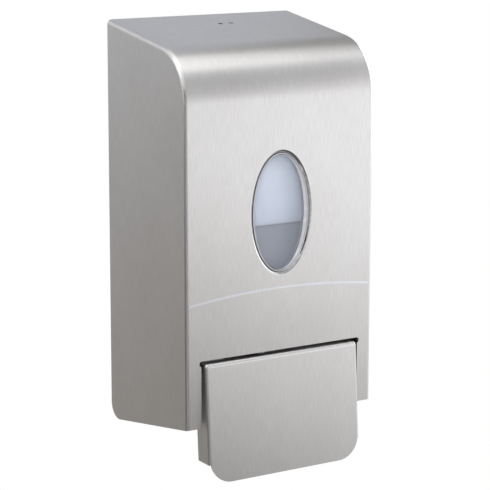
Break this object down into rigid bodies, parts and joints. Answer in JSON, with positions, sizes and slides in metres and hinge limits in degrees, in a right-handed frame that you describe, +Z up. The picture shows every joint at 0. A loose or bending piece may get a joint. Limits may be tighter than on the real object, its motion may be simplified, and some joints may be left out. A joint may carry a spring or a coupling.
{
  "type": "soap dispenser",
  "caption": "Wall-mounted liquid soap dispenser: bent sheet-steel cover with an oval level window, a push lever in a notch at the bottom, and a tank and plunger pump inside.",
  "frame": {"origin": "middle of the wall screw pattern, on the wall plane", "axes": "+X to the right seen from the front, +Y into the wall, +Z up"},
  "size_m": [0.12, 0.0944, 0.2457],
  "materials": {
    "brushed_cover_steel": "vertical brushing",
    "brushed_lever_steel": "brushed",
    "plain_steel": "plain rolled sheet and rod",
    "spring_steel": "spring steel",
    "zinc_fasteners": "zinc plated",
    "bezel_plastic": "silver grey, satin",
    "lens_clear": "clear acrylic",
    "tank_plastic": "translucent polyethylene",
    "grey_plastic": "moulded",
    "pump_plastic": "moulded",
    "seal_rubber": "soft",
    "valve_silicone": "soft, translucent"
  },
  "bodies": {
    "wall_unit": {"back_plate": "plain_steel", "latch_leaf": "spring_steel", "latch_rivets": "zinc_fasteners", "chassis": "grey_plastic", "chassis_screws": "zinc_fasteners", "tank": "tank_plastic", "tank_neck": "tank_plastic", "neck_gasket": "seal_rubber", "outlet_seal": "seal_rubber", "pump_body": "pump_plastic", "pump_screws": "zinc_fasteners", "pump_gland": "grey_plastic", "inlet_valve": "valve_silicone", "outlet_valve": "valve_silicone", "nozzle": "grey_plastic"},
    "filler_cap": {"filler_cap": "grey_plastic"},
    "plunger": {"plunger": "pump_plastic", "piston_seal": "seal_rubber", "pump_spring": "spring_steel"},
    "cover": {"cover": "brushed_cover_steel", "cover_hinge_pins": "plain_steel", "keeper": "plain_steel", "window_bezel": "bezel_plastic", "window_lens": "lens_clear", "window_retainer": "grey_plastic", "window_studs": "plain_steel", "window_nuts": "zinc_fasteners", "lever_brackets": "plain_steel", "lever_pins": "plain_steel", "pin_clips": "spring_steel"},
    "lever": {"lever_plate": "brushed_lever_steel", "lever_carrier": "grey_plastic", "lever_bushes": "pump_plastic", "carrier_studs": "plain_steel"}
  },
  "joints": [
    {"name": "cover_hinge", "type": "hinge", "parent": "wall_unit", "child": "cover", "pos_m": [0, -0.0106, -0.10308], "axis": [1, 0, 0], "range_deg": [0, 70], "deforming": ["latch_leaf"]},
    {"name": "lever_hinge", "type": "hinge", "parent": "cover", "child": "lever", "pos_m": [0, -0.08, -0.068], "axis": [1, 0, 0], "range_deg": [0, 12], "stiffness_Nm_per_rad": 1.5, "springref_deg": -11.46},
    {"name": "plunger_slide", "type": "slide", "parent": "wall_unit", "child": "plunger", "axis": [0, 1, 0], "range_m": [0, 0.0052], "deforming": ["pump_spring"]},
    {"name": "cap_turn", "type": "hinge", "parent": "wall_unit", "child": "filler_cap", "pos_m": [0, -0.044, 0.088], "axis": [0, 0, 1], "range_deg": [0, 90]}
  ],
  "couplings": [
    {"joint": "plunger_slide", "follows": "lever_hinge", "m_per_rad": 0.024}
  ]
}
